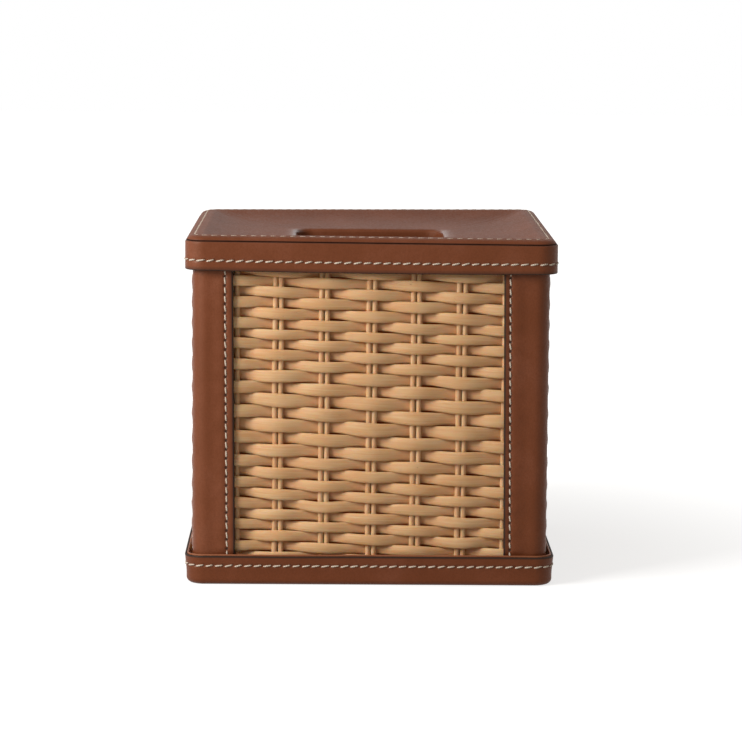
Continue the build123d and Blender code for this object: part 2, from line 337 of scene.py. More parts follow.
# Marks of the seam: a shallow press along the row, and at both ends of a stitch a dark spot,
# painted shade where its hole lies.
seam, given, result = effect(
    "seam_marks",
    {"Walk": ("Vector", None), "Pitch": ("Float", stitch_pitch), "Hole shade": ("Float", 0.42)},
    {"Hole shade": "Float", "Height": "Float"},
)
part = split(seam, given["Walk"])
turns = sums(seam, "FRACT", sums(seam, "DIVIDE", part[0], given["Pitch"]))
from_hole = sums(seam, "ABSOLUTE", sums(seam, "SUBTRACT", turns, 0.5))
from_hole = times(seam, from_hole, given["Pitch"])
away = sums(seam, "ABSOLUTE", part[1])
reach = distance(seam, from_hole, away)
outer, inner = (times(seam, given["Hole shade"], share) for share in (1.5, 0.6))
press = step(seam, away, 1.3, 0.1, 0.0, -0.10), step(seam, reach, 1.1, 0.0, 0.0, -0.25)
fill(seam, result, {"Hole shade": step(seam, reach, outer, inner), "Height": sums(seam, "ADD", *press)})


def leather(
    name, dye, pitch=stitch_pitch, hole_shade=0.22, clouds=0.35, pebble=0.02, polish=0.0,
    paint=rgb(30, 13, 7),
):
    """Dyed hide with a seam, for pieces that carry the walk map. A painted edge is smooth
    and a little duller, and a place that hands have rubbed shines."""
    material, tree, shader = new_material(name)
    sockets = {"Dye": dye, "Clouds": clouds, "Pebble depth": pebble}
    grain = place(tree, "ShaderNodeGroup", sockets, node_tree=hide).outputs
    sockets = {"Walk": walk_map(tree), "Pitch": pitch, "Hole shade": hole_shade}
    sewn = place(tree, "ShaderNodeGroup", sockets, node_tree=seam).outputs
    edge, rubbed = kept_mark(tree, "painted"), kept_mark(tree, "rubbed")
    # Painted shade: each stitch hole is coloured dark brown, for the shade inside it.
    colour = blend(tree, sewn["Hole shade"], grain["Colour"], rgb(40, 18, 10))
    rough = sums(tree, "ADD", grain["Roughness"], times(tree, edge, 0.15))
    rough = sums(tree, "SUBTRACT", rough, times(tree, rubbed, 0.5))
    height = sums(tree, "ADD", grain["Height"], sewn["Height"])
    height = times(tree, height, sums(tree, "SUBTRACT", 1.0, edge))
    fill(tree, shader, {
        "Base Color": blend(tree, edge, colour, paint),
        "Roughness": sums(tree, "SUBTRACT", rough, polish),
        "Normal": bump(tree, height),
        "Specular IOR Level": 0.3,
        "Specular Tint": (1.0, 0.87, 0.72, 1.0),
    })
    return material


tray_count = round(way_round(tray_half, tray_radius) / stitch_pitch)
tray_pitch = tray_way[1] / tray_count
rim.data.materials.append(leather("tray_hide", rgb(105, 52, 26), tray_pitch))

# ------------------------------------------------ stitches of the tray
# Waxed cream thread, saddle stitched by hand: every stitch lies on the leather, slants up to
# the right, and dives into its holes at both ends.

chance = np.random.default_rng(7)


def stitch_row(name, where, along, out, length=3.55, width=0.7, slant=10.5, rise=0.12):
    """Stitches at points on a surface. A stitch is a thread that rises out of its hole, lies
    along the row and dives again: its axis is the row turned by the slant within the
    surface, its height falls with the sixth power of the way to its end, and its round
    section thins to a point there, a little sooner at the end that was pulled."""
    where, along, out = (np.asarray(a, float)[:, None, None, :] for a in (where, along, out))
    count = len(where)
    tilt = np.radians(slant + chance.normal(0, 2.0, count))[:, None, None, None]
    side = np.cross(out, along)
    axis = along * np.cos(tilt) + side * np.sin(tilt)
    side = np.cross(out, axis)
    way = np.array([-1, -0.92, -0.6, 0.0, 0.6, 0.92, 1])[None, :, None, None]
    around = np.radians(np.arange(0, 360, 60))[None, None, :, None]
    stretch = length / 2 * chance.uniform(0.95, 1.05, count)[:, None, None, None]
    lift = rise - 0.5 * way**6
    thick = width / 2 * (1 - 0.14 * way) * np.sqrt(1 - 0.5 * way**2 - 0.5 * way**8)
    points = where + axis * way * stretch + out * lift
    points = points + thick * (np.cos(around) * side + np.sin(around) * out * 0.9)
    u = (way * stretch)[..., 0] + 10 * np.arange(count)[:, None, None]
    v = np.radians(np.arange(0, 361, 60)) * width / 2
    return skin(name, points, u, v[None, None], close_columns=True, weld=True)


def seam_round(
    name, half, radius, height, count, sag=0.0, rise_at=None, start=0.0,
    out_up=False, inside=False, **options,
):
    """Row of stitches all the way round the box, at a height less the sag in the middle of
    each side, which falls with the square of the way to the corners, plus the rise_at()
    each place. The row lies on an upright wall, inside it, or on a level border."""
    walk = start + np.arange(count) * way_round(half, radius) / count
    s, n = round_square(walk, half, radius)
    where = s * (half - radius) + n * radius
    where = np.column_stack([where, height - sag * (2 - (s**2).sum(1))])
    if rise_at is not None:
        where[:, 2] += rise_at(where)
    flat = np.zeros(count)
    along = np.column_stack([-n[:, 1], n[:, 0], flat])
    out = np.column_stack([n, flat])
    if inside:
        along, out = -along, -out
    if out_up:
        out = np.column_stack([flat, flat, flat + 1])
    return stitch_row(name, where, along, out, **options)


thread, tree, shader = new_material("waxed_thread")
part = split(tree, walk_map(tree))
ply = sums(tree, "SINE", weighed(tree, part[0], 7.0, part[1], 5.4))
fuzz = noise(tree, millimetres(tree), 3.0, 3.0)
tone = step(tree, sums(tree, "ADD", times(tree, ply, 0.25), fuzz), 0.2, 0.8)
fill(tree, shader, {
    "Base Color": blend(tree, tone, rgb(176, 156, 136), rgb(222, 210, 192)),
    "Roughness": step(tree, fuzz, 0.3, 0.7, 0.55, 0.72),
    "Normal": bump(tree, weighed(tree, ply, 0.05, fuzz, 0.05)),
    "Specular IOR Level": 0.35,
})

seam_half = lean(tray_seam)
seam_radius = tray_radius - (tray_half - seam_half)
tray_thread = seam_round(
    "tray_stitches", seam_half, seam_radius, tray_seam, tray_count, start=tray_start
)
tray_thread.data.materials.append(thread)
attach(tray_thread, "case")

# ------------------------------------------------ inner strip of the tray
# A thinner strip of the same hide, left its natural lighter tan, is glued and sewn inside
# the rim. It stands a little higher than the outer leather, so its edge shows as a pale line.

strip_top, strip_thick, strip_round = 12.75, 0.8, 0.3
no_seam = 9.0  # a distance from the stitch row at which nothing of it shows


def natural(name, pitch):
    """The same hide left undyed: a lighter tan with fainter clouds and a finer grain."""
    return leather(name, rgb(140, 84, 56), pitch, clouds=0.25, pebble=0.012)


strip_in = hide_thick + strip_thick
outer_edge = lean(strip_top) - hide_thick - strip_round, strip_top - strip_round
inner_edge = lean(strip_top) - strip_in + strip_round, strip_top - strip_round
strip_line = [(lean(z) - hide_thick, z) for z in (5.7, 8.0, 11.8)]
strip_line += bend(outer_edge, strip_round, 0, 90, 4) + bend(inner_edge, strip_round, 90, 180, 4)
strip_line += [(lean(z) - strip_in, z) for z in (9.0, 5.7)]
strip_profile = ring(strip_line, tray_half, tray_radius)
strip = swept("tray_inner_strip", strip_profile, tray_way, 0.0, no_seam, settle)
strip.data.materials.append(natural("natural_hide", tray_pitch))
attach(strip, "case")
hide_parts("base_rim_lining")

# ------------------------------------------------ boards, posts and rails
# The hidden frame: a board in the tray, a post in each corner, rails between them, and the
# dished board of the lid. All are pale poplar, sawn along the grain and left bare.

wood, tree, shader = new_material("poplar")
sockets = {"Vector": millimetres(tree), "Scale": (0.05, 0.6, 0.6)}
drawn = place(tree, "ShaderNodeMapping", sockets).outputs[0]
years = noise(tree, drawn, 0.5, 5.0, Distortion=0.4)
pore = noise(tree, drawn, 6.0, 2.0)
colour = blend(tree, step(tree, years, 0.3, 0.7), rgb(205, 176, 132), rgb(176, 141, 96))
fill(tree, shader, {
    "Base Color": blend(tree, step(tree, pore, 0.6, 0.75), colour, rgb(140, 104, 66)),
    "Roughness": step(tree, pore, 0.3, 0.7, 0.55, 0.75),
    "Normal": bump(tree, weighed(tree, pore, 0.06, years, 0.05)),
})


def refinish(names, material):
    """Give CAD pieces a material."""
    for name in names:
        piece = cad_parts[name]
        if not piece.material_slots:
            piece.data.materials.append(material)
        for slot in piece.material_slots:
            slot.material = material


corners = ["front_right", "back_right", "back_left", "front_left"]
sides = ["front", "right", "back", "left"]
wooden = ["base_board", "lid_board"] + [f"corner_post_{corner}" for corner in corners]
wooden += [f"{end}_rail_{side}" for side in sides for end in ("top", "bottom")]
refinish(wooden, wood)

# ------------------------------------------------ suede
# Split suede covers the boards behind the weave, the floor, the step under the lid and the
# pad the box stands on: a soft nap, brushed lighter and darker in patches.


def suede(name, colour_up, colour_down):
    """Napped suede: soft clouds where the nap lies another way, and a fine short pile."""
    material, tree, shader = new_material(name)
    at = millimetres(tree)
    brushed = noise(tree, at, 0.08, 4.0, Distortion=0.6)
    pile = noise(tree, at, 3.2, 3.0, Roughness=0.7)
    tone = step(tree, weighed(tree, brushed, 0.65, pile, 0.35), 0.36, 0.64)
    fill(tree, shader, {
        "Base Color": blend(tree, tone, colour_down, colour_up),
        "Roughness": step(tree, pile, 0.3, 0.7, 0.82, 0.98),
        "Normal": bump(tree, pile, 0.0003),
        "Specular IOR Level": 0.15,
        "Sheen Weight": 0.25,
        "Sheen Roughness": 0.45,
        "Sheen Tint": rgb(200, 160, 130),
    })
    return material


lined = [f"side_lining_{side}" for side in sides] + ["base_floor_lining", "lid_underside_lining"]
refinish(lined, suede("brown_suede", rgb(194, 104, 58), rgb(158, 80, 43)))
refinish(["base_underside_pad"], suede("dark_suede", rgb(74, 52, 42), rgb(50, 34, 27)))

# ------------------------------------------------ rods of the weave
# Pairs of round rattan core rods stand between the rails. They are peeled, sanded and left
# raw, a little uneven in thickness, and the reeds press them here and there.

stake_plane, panel_bow, wing_edge = 69.2, 1.2, 55.7
pair_count, pair_pitch, rod_offset, rod_radius = 7, 18.7, 1.22, 1.14
rail_low, rail_high = 8.6, 131.5

# On the walk map the pieces lie this far apart, so that no two have the same fibres.
panel_apart, rod_apart, reed_apart = 9000, 400.0, 300.0


def swell(x):
    """How far the panel stands out at x: the full bow in the middle, less the square of the
    way to the leather, and nothing there."""
    return panel_bow * np.clip(1 - (x / wing_edge) ** 2, 0, None)


def pair_places(side):
    """Middles of the pairs of rods. They were set by hand, so each is a little off."""
    seed = {"front": 4945, "right": 12, "back": 13, "left": 14}[side]
    nudge = np.random.default_rng(seed).normal(0, 0.4, pair_count)
    nudge[[0, -1]] = 0
    return (np.arange(pair_count) - pair_count // 2) * pair_pitch + nudge


def wander(x, size, length, seed):
    """Smooth chance waves along x, one for each of its rows: the sum of four sines of about
    a wavelength."""
    pick = np.random.default_rng(seed)
    waves = 2 * np.pi / (length * pick.uniform(0.6, 1.7, (4, len(x), 1)))
    return size * 0.5 * np.sin(waves * x + pick.uniform(0, 6.3, waves.shape)).sum(0)


def facing(points, side):
    """Turn a panel from the front to its own side, by quarter turns."""
    quarter = sides.index(side) * np.pi / 2
    c, s = np.round(np.cos(quarter)), np.round(np.sin(quarter))
    x, y, z = np.moveaxis(points, -1, 0)
    return np.stack([c * x - s * y, s * x + c * y, z], -1)


def drawn_out(tree, part, along, across):
    """Walk map scaled by one factor along the piece and another across it."""
    scaled = {0: times(tree, part[0], along), 1: times(tree, part[1], across)}
    return place(tree, "ShaderNodeCombineXYZ", scaled).outputs[0]


# Fibres of the cane: fine streaks along it, broad patches of tone, and short dark nicks.
pale, dark = ("Color", rgb(214, 180, 134)), ("Color", rgb(168, 122, 78))
sockets = {"Walk": ("Vector", None), "Pale": pale, "Dark": dark, "Fine": ("Float", 2.2)}
fibre, given, result = effect("rattan_fibre", sockets, looks)
part = split(fibre, given["Walk"])
streak = noise(fibre, drawn_out(fibre, part, 0.05, given["Fine"]), 1.0, 5.0, Roughness=0.6)
patch = noise(fibre, drawn_out(fibre, part, 0.035, 0.12), 1.0, 3.0)
nick = noise(fibre, drawn_out(fibre, part, 0.6, 3.0), 1.0, 2.0)
tone = step(fibre, weighed(fibre, streak, 0.55, patch, 0.45), 0.36, 0.66)
cane = blend(fibre, tone, given["Dark"], given["Pale"])
nicked = times(fibre, step(fibre, nick, 0.70, 0.80), 0.6)
carved = times(fibre, streak, 0.16), step(fibre, nick, 0.66, 0.8, 0.0, 0.08)
fill(fibre, result, {
    "Colour": blend(fibre, nicked, cane, rgb(112, 70, 40)),
    "Roughness": step(fibre, streak, 0.3, 0.7, 0.50, 0.66),
    "Height": sums(fibre, "SUBTRACT", *carved),
})


def rattan(name, pale, dark, fine):
    """Raw rattan whose fibres run along the piece. Where a reed dips under, its colour is
    blended towards a brighter, warmer tan: painted light that stands for warm light bounced
    into the dips, lifting their shade."""
    material, tree, shader = new_material(name)
    sockets = {"Walk": walk_map(tree), "Pale": pale, "Dark": dark, "Fine": fine}
    cane = place(tree, "ShaderNodeGroup", sockets, node_tree=fibre).outputs
    # Painted light: a brighter warm tan is mixed in where the reed dips under, into its shade.
    under = times(tree, kept_mark(tree, "under"), 0.45)
    fill(tree, shader, {
        "Base Color": blend(tree, under, cane["Colour"], rgb(222, 163, 116)),
        "Roughness": cane["Roughness"],
        "Normal": bump(tree, cane["Height"]),
        "Specular IOR Level": 0.38,
        "Subsurface Weight": 0.7,
        "Subsurface Radius": (1.0, 0.48, 0.22),
        "Subsurface Scale": 0.0018,
    })
    return material


rod_cane = rattan("rod_rattan", rgb(212, 175, 132), rgb(194, 148, 103), 2.4)
around = np.radians(np.arange(0, 360, 36))
for number, side in enumerate(sides):
    rod_x = (pair_places(side)[:, None] + np.array([-rod_offset, rod_offset])).ravel()
    count = len(rod_x)
    z = np.linspace(rail_low, rail_high, 42)
    z = np.concatenate([[z[0]], z, [z[-1]]])
    every_z = z * np.ones((count, 1))
    thick = rod_radius * (1 + wander(every_z, 0.05, 30, 40 + number))[..., None]
    thick[:, [0, -1]] = 0
    sway = wander(every_z, 0.12, 60, 50 + number)[..., None]
    x = rod_x[:, None, None] + sway + thick * np.sin(around)
    y = -(stake_plane + swell(rod_x)[:, None, None] + thick * np.cos(around))
    up = z[None, :, None]
    points = np.stack(np.broadcast_arrays(x, y, up), -1)
    u = up + rod_apart * np.arange(count)[:, None, None] + panel_apart * number
    v = np.append(around, 2 * np.pi)[None, None] * rod_radius
    rods = skin(f"rods_{side}", facing(points, side), u, v, close_columns=True, weld=True)
    rods.data.materials.append(rod_cane)
    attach(rods, "case")
    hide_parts(f"weave_stakes_{side}")

# ------------------------------------------------ reeds of the weave
# Flat oval reeds, split from the same core and woven damp, one row over a pair and under the
# next, and the next row the other way. They are packed down by hand, so the rows lie a
# little aslant and not quite evenly.

reed_rows, reed_swing, reed_end, reed_thick, reed_wide = 27, 1.9, 63.6, 1.5, 4.8
weave_low, weave_high = 8.0, 130.8


def row_heights(side):
    """Heights and spacings of the rows: each takes an equal share of the panel, a little
    more around the middle where they are packed less, as a bell curve of the height, and
    chance moves each slightly."""
    guess = np.linspace(weave_low, weave_high, reed_rows)
    share = 1 + 0.26 * np.exp(-(((guess - 66) / 18) ** 2))
    seed = {"front": 123, "right": 71, "back": 72, "left": 73}[side]
    share = share * np.random.default_rng(seed).normal(1, 0.03, reed_rows)
    edges = weave_low + (weave_high - weave_low) * np.append(0, np.cumsum(share)) / share.sum()
    return (edges[1:] + edges[:-1]) / 2, np.diff(edges)


def squarer(wave, power):
    """Sine or cosine raised to a power below 1 with its sign kept, which makes a squarer
    oval of a round one."""
    return np.sign(wave) * np.abs(wave) ** power


# A reed swings out and in with the cosine of its way from pair to pair, half a turn for each.
# It is a little taller where it is out or in, and narrower where it comes out from under.
reed_cane = rattan("reed_rattan", rgb(211, 175, 130), rgb(202, 154, 104), 3.2)
around = np.radians(np.arange(0, 360, 30))
x = np.linspace(-reed_end, reed_end, 106)[None]
row = np.arange(reed_rows)[:, None]
every_x = np.ones((reed_rows, 1)) * x
starts = np.where(row % 2 == 0, 1, -1)
ends = np.ones(x.shape[1])
ends[[0, -1]] = 0
next_pair = (pair_count // 2 + 1) * pair_pitch
for number, side in enumerate(sides):
    centre, spacing = (a[:, None] for a in row_heights(side))
    pairs = np.concatenate([[-next_pair], pair_places(side), [next_pair]])
    phase = np.pi * np.interp(x, pairs, np.arange(len(pairs)))
    over, rising = starts * np.cos(phase), -starts * np.sin(phase)
    tip = ramp(over, 0.2, -0.8) * ramp(rising, -0.1, 0.35)
    fade = ramp(np.abs(x), reed_end, 57)
    depth = reed_swing * over * fade + swell(x) + wander(every_x, 0.10, 40, 80 + number)
    slope = 0.026 + 0.0115 * ramp(centre, 100, 60) * ramp(centre, 8, 30)
    level = centre - slope * x + wander(every_x, 0.16, 34, 90 + number)
    tall = spacing * (0.98 + 0.10 * np.abs(over) - 0.14 * tip)
    tall = tall * (1 + wander(every_x, 0.025, 25, 100 + number))
    thick = reed_thick * (1 + wander(every_x, 0.05, 30, 110 + number))
    twist = np.radians(wander(every_x, 5.0, 30, 120 + number))[..., None]
    out = squarer(np.cos(around), 0.85) * (thick * ends)[..., None] / 2
    up = -squarer(np.sin(around), 0.72) * (tall * ends)[..., None] / 2
    c, s = np.cos(twist), np.sin(twist)
    y = -(stake_plane + depth[..., None] + out * c - up * s)
    z = level[..., None] + up * c + out * s
    points = np.stack(np.broadcast_arrays(x[..., None], y, z), -1)
    reeds = skin(
        f"reeds_{side}",
        facing(points, side),
        (x + reed_apart * row + panel_apart * number)[..., None],
        np.append(around, 2 * np.pi)[None, None] / np.pi * reed_wide,
        close_columns=True,
        # Where the reed dips under, which sets how much painted warm light it gets.
        marks={"under": ramp(over, 0.6, -0.9)[..., None]},
        weld=True,
    )
    reeds.data.materials.append(reed_cane)
    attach(reeds, "case")
    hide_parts(f"weave_reeds_{side}")

# ------------------------------------------------ corner leather
# A long strip of hide is folded round each post and sewn down beside both edges, over the
# ends of the reeds. The cut edges are painted dark, about a millimetre in from each edge:
# edge paint, widened as painted shade along the edge. The reeds press through the sewn wings.

tan = rgb(108, 55, 29)
case_half, case_radius, corner_thick = 73.2, 6.0, 1.1
corner_low, corner_high = 5.6, 131.5
wing_walk = case_half - case_radius - wing_edge
corner_walk = np.pi / 2 * case_radius
strip_walk = 2 * wing_walk + corner_walk
quarter_walk = 2 * (case_half - case_radius) + corner_walk
post_pitch, post_start, post_stitches = 3.76, 1.65, np.arange(2, 35)

# Hand cutting leaves the wings a little wider or narrower than they should be at the top,
# and wider or narrower still by the slant at the bottom, with the seams nearer the edge or
# further in: wider, slant and seam, each for the first wing and the second.
wing_cut = {
    "front_right": ((1.5, -0.3), (-1.0, 0.2), (2.6, 2.9)),
    "back_right": ((-0.2, 0.4), (0.3, -0.2), (2.8, 2.6)),
    "back_left": ((0.3, -0.5), (-0.3, 0.4), (2.9, 3.0)),
    "front_left": ((-0.1, -0.8), (0.2, 0.88), (2.8, 3.3)),
}
hill_height = {"front": 0.26, "back": 0.26, "right": 0.42, "left": 0.42}


def wing_edges(corner, z):
    """Walks of the two edges of a corner's strip at a height."""
    wider, slant, _ = wing_cut[corner]
    lower = (125 - z) / 100
    return -(wider[0] + slant[0] * lower), strip_walk + wider[1] + slant[1] * lower


def pressed(z, into, seam_place, side):
    """How far the wing stands proud: it rises towards its sewn edge, swells over every
    second row of reed, as a bell curve of the height above that row, and is drawn in by the
    thread, as a bell curve of the distance from the seam."""
    rows = row_heights(side)[0][1::2]
    hills = np.exp(-(((z[..., None] - rows) / 2.6) ** 2)).sum(-1) * hill_height[side]
    proud = hills * ramp(into, 9.0, 4.8) * (1 - 0.35 * ramp(into, 1.2, 0.2))
    proud = proud + 0.35 * ramp(into, 10.0, 4.0)
    proud = proud - 0.22 * np.exp(-(((into - seam_place) / 0.9) ** 2))
    return proud * ramp(z, 11.5, 15) * ramp(z, 129, 125.5)


def round_post(walk, number, depth):
    """Points on a corner's strip, seen from above, and their outward directions."""
    s, n = round_square(wing_edge + walk + number * quarter_walk, case_half, case_radius)
    return s * (case_half - case_radius) + n * (case_radius + depth)[..., None], n


# Cross-section of the strip, as walk and inset: the outside, a rounded edge, the inside back
# again, and the other rounded edge.
flat_part = np.linspace(0.9, wing_walk, 12, endpoint=False)
turned = wing_walk + np.linspace(0, corner_walk, 11)
run = np.concatenate([flat_part, turned, strip_walk - flat_part[::-1]])
round_off = np.array([[0.5, 0.0], [0.2, -0.08], [0.05, -0.28], [0.0, -0.55]])
line = [(t, 0.0) for t in run] + [(strip_walk - a, b) for a, b in round_off]
line += [(strip_walk - a, -corner_thick - b) for a, b in round_off[-2::-1]]
line += [(t, -corner_thick) for t in run[::-1]]
line += [(a, -corner_thick - b) for a, b in round_off] + [(a, b) for a, b in round_off[-2::-1]]
across, inset = np.array(line).T
first = across < strip_walk / 2
up = np.linspace(corner_low, corner_high, 150)
height = np.concatenate([[up[0]], up, [up[-1]]])[:, None]
closing = np.zeros((len(height), 1), bool)
closing[[0, -1]] = True
every_z = height * np.ones(len(across))
stitch_z = post_stitches * post_pitch + post_start
corner_hide = leather("corner_hide", tan, post_pitch, hole_shade=0.5)

for number, corner in enumerate(corners):
    wing_sides = sides[number], sides[(number + 1) % 4]
    seam_in = wing_cut[corner][2]
    near, far = wing_edges(corner, height)
    moved = across + near * ramp(across, wing_walk, 0)
    moved = moved + (far - strip_walk) * ramp(strip_walk - across, wing_walk, 0)
    into = np.minimum(moved - near, far - moved)
    wave = [pressed(every_z, into, seam_at, side) for seam_at, side in zip(seam_in, wing_sides)]
    depth = np.where(closing, -corner_thick / 2, inset) + np.where(first, *wave)
    points = np.concatenate([round_post(moved, number, depth)[0], every_z[..., None]], -1)
    from_seam = into - np.where(first, *seam_in)
    piece = skin(
        f"corner_hide_{corner}",
        points[None],
        height[None] - post_start,
        np.concatenate([from_seam, from_seam[:, :1]], 1)[None],
        close_columns=True,
        # Dark on each wing: real edge paint, widened as painted shade along the edge.
        marks={"painted": np.where(inset < -0.02, 1.0, ramp(into, 1.05, 0.65))[None]},
        weld=True,
    )
    piece.data.materials.append(corner_hide)
    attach(piece, "case")
    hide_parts(f"corner_leather_{corner}")

    near, far = wing_edges(corner, stitch_z)
    seam_walks = near + seam_in[0], far - seam_in[1]
    where, out = [], []
    for side, seam_at, walk in zip(wing_sides, seam_in, seam_walks):
        lift = pressed(stitch_z, np.full(len(stitch_z), seam_at), seam_at, side)
        plan, n = round_post(walk, number, lift)
        where.append(np.column_stack([plan, stitch_z]))
        out.append(np.column_stack([n, np.zeros(len(n))]))
    where, out = np.concatenate(where), np.concatenate(out)
    along = np.tile([0.0, 0.0, 1.0], (len(where), 1))
    sewn = stitch_row(
        f"corner_stitches_{corner}", where, along, out, length=3.1, slant=8.0, rise=0.08
    )
    sewn.data.materials.append(thread)
    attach(sewn, "case")

# ------------------------------------------------ binding of the case
# A strip of hide is glued over the top edge of the case all the way round, hidden under the
# lid when it is on.

bind_line = [(73.2, 131.6), (73.2, 134.0), (73.2, 137.4)] + bend((72.5, 137.6), 0.7, 0, 90, 6)
bind_line += [(70.0, 138.3), (66.0, 138.3)] + bend((64.3, 137.8), 0.5, 90, 180, 5)
bind_line += [(63.8, 137.2), (68.0, 137.2), (72.1, 137.2), (72.1, 134.0), (72.1, 131.6)]
bind_profile = ring(bind_line, case_half, case_radius)
bind_way = grid_lines(case_half, case_radius, 24, 10)
binding = swept("case_binding", bind_profile, bind_way, 0.0, no_seam)
binding.data.materials.append(leather("binding_hide", tan))
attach(binding, "case")
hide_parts("case_rim_binding")

# ------------------------------------------------ band of the lid
# A strip of hide is wrapped round the lid board, sewn near its lower edge to a lighter strip
# inside, with both cut edges rounded and painted.

band_low, band_high, band_seam = 129.7, 141.6, 133.9
band_half, band_radius, band_in = 76.3, 8.3, 75.0
band_sag, band_start, lid_twist = 0.4, -1.7, 0.5
band_way = grid_lines(band_half, band_radius, 40, 12)
band_count = round(band_way[1] / stitch_pitch)
band_pitch = band_way[1] / band_count


def twisted(points):
    """Rise of a lid that came out a little twisted: the product of the two ways from the
    middle, so two opposite corners lie higher, and nothing inside the border moves."""
    x, y = points[..., 0], points[..., 1]
    border = ramp(np.maximum(np.abs(x), np.abs(y)), 52, 69)
    return lid_twist * x * y / band_half**2 * border


def sagged(points, walk):
    """The band's lower edge hangs lowest in the middle of each side, where the square of
    the way to the corners is least, and its upper edge keeps straight."""
    s, n = round_square(walk, band_half, band_radius)
    drop = band_sag * (2 - (s**2).sum(1)) * ramp(points[..., 2], 141, 130)
    shift = np.zeros_like(points)
    shift[..., 2] = twisted(points) - drop
    return shift


band_line = bend((band_half - 0.45, band_low + 0.45), 0.45, -90, 0, 5)
band_line += [(band_half, z) for z in (131.5, 132.6, 133.2, 133.8, 134.4, 135.2, 137.5, 140.0)]
band_line += bend((band_half - 0.6, band_high - 0.6), 0.6, 0, 80, 6)
band_line += [(band_in + 0.3, band_high - 0.05), (band_in, 137.0)]
band_line += [(band_in, band_low + 0.15), (band_in + 0.2, band_low)]
band_profile = ring(band_line, band_half, band_radius)
height = band_profile[:, 3]
painted = ramp(height, band_low + 0.65, band_low + 0.3)
painted = painted + 0.6 * ramp(height, band_high - 0.4, band_high - 0.15)
from_seam = height - band_seam
band = swept("lid_band", band_profile, band_way, painted, from_seam, sagged, start=band_start)
band.data.materials.append(leather("band_hide", tan, band_pitch))
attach(band, "lid")
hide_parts("lid_band_leather")

seam_sag = band_sag * ramp(band_seam, 141, 130)
band_thread = seam_round(
    "lid_band_stitches", band_half, band_radius, band_seam, band_count,
    seam_sag, twisted, band_start,
)
band_thread.data.materials.append(thread)
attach(band_thread, "lid")

# ------------------------------------------------ inner strip of the lid
# The lighter strip inside the band, glued to it and to the edge of the lid board. The
# band's seam goes through both, so its stitches show on the inside too.

inner_half = 74.2
under_line = [(inner_half, 138.3), (inner_half, 134.0)]
under_line += bend((inner_half + strip_round, band_low + strip_round), strip_round, 180, 270, 4)
under_line += bend((band_in - strip_round, band_low + strip_round), strip_round, 270, 360, 4)
under_line += [(band_in, 134.0), (band_in, 138.3)]
under_profile = ring(under_line, band_half, band_radius)
from_seam = under_profile[:, 3] - band_seam
under = swept("lid_inner_strip", under_profile, band_way, 0.0, from_seam, sagged)
under.data.materials.append(natural("lid_natural_hide", band_pitch))
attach(under, "lid")
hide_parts("lid_band_lining")

inner_radius = band_radius - (band_half - inner_half)
inner_thread = seam_round(
    "lid_inner_stitches", inner_half, inner_radius, band_seam, band_count,
    seam_sag, twisted, inside=True, width=0.5, rise=0.0,
)
inner_thread.data.materials.append(thread)
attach(inner_thread, "lid")

# ------------------------------------------------ top of the lid
# One piece of hide covers the lid board, pressed into its shallow dish and turned down
# inside the tissue slot. Its rolled edge overhangs the seam with the band, and where it is
# drawn down to the slot it creases faintly towards the corners.

top_high, seam_level, panel_half, panel_radius = 144.0, 141.9, 75.6, 7.6
crest_half, crest_radius, dish_depth, dish_bend = 69.5, 5.0, 4.6, 3.6
slot_long, slot_wide, slot_radius, slot_low = 31.5, 20.0, 7.4, 135.3
lip_wide, lip_deep = 3.2, 1.6
row_half, row_radius = 72.4, 5.5
top_way = grid_lines(panel_half, panel_radius, 64, 14)
top_count = round(way_round(row_half, row_radius) / stitch_pitch)


def rolled(half):
    """Height of the border: it bends down from level at the crest to upright at the edge,
    as (1 - t^3)^0.6, where t is the share of the way out to the edge."""
    t = (half - crest_half) / (panel_half - crest_half)
    return seam_level + (top_high - seam_level) * (1 - t**3) ** 0.6


def dished(far, drop=None):
    """Ring of the dish: far is 0 at the crest and 1 at the slot's lip. Its outline is that
    share of the way from the crest's round square to the lip, and its depth follows
    1 - exp(-3.6 far), so the dish is steep by the crest and nearly flat by the slot."""
    crest = np.array([crest_half, crest_half, crest_radius])
    lip = np.array([slot_long, slot_wide, slot_radius]) + lip_wide
    if drop is None:
        eased = far**2 * 1.04 / (far + 0.04)
        drop = dish_depth * (1 - np.exp(-dish_bend * eased)) / (1 - np.exp(-dish_bend))
    return [*(crest + (lip - crest) * far), top_high - drop]


def slot_ring(out, height):
    """Ring that runs round the slot, some way out from its wall."""
    return [slot_long + out, slot_wide + out, slot_radius + out, height]


def creases(points, walk):
    """Faint folds that run from the slot out to the corners: two sines of the walk, where
    the corner is near, deepest half way down the dish."""
    quarter = np.abs((walk / top_way[1] * 4 + 0.5) % 1 - 0.5) * 2
    fold = np.sin(walk * 1.15 + 0.8 * np.sin(walk * 0.31)) + 0.6 * np.sin(walk * 0.67 + 1.0)
    shift = np.zeros_like(points)
    shift[..., 2] = 0.05 * ramp(quarter, 0.45, 0.95) * fold * dip[:, None] + twisted(points)
    return shift


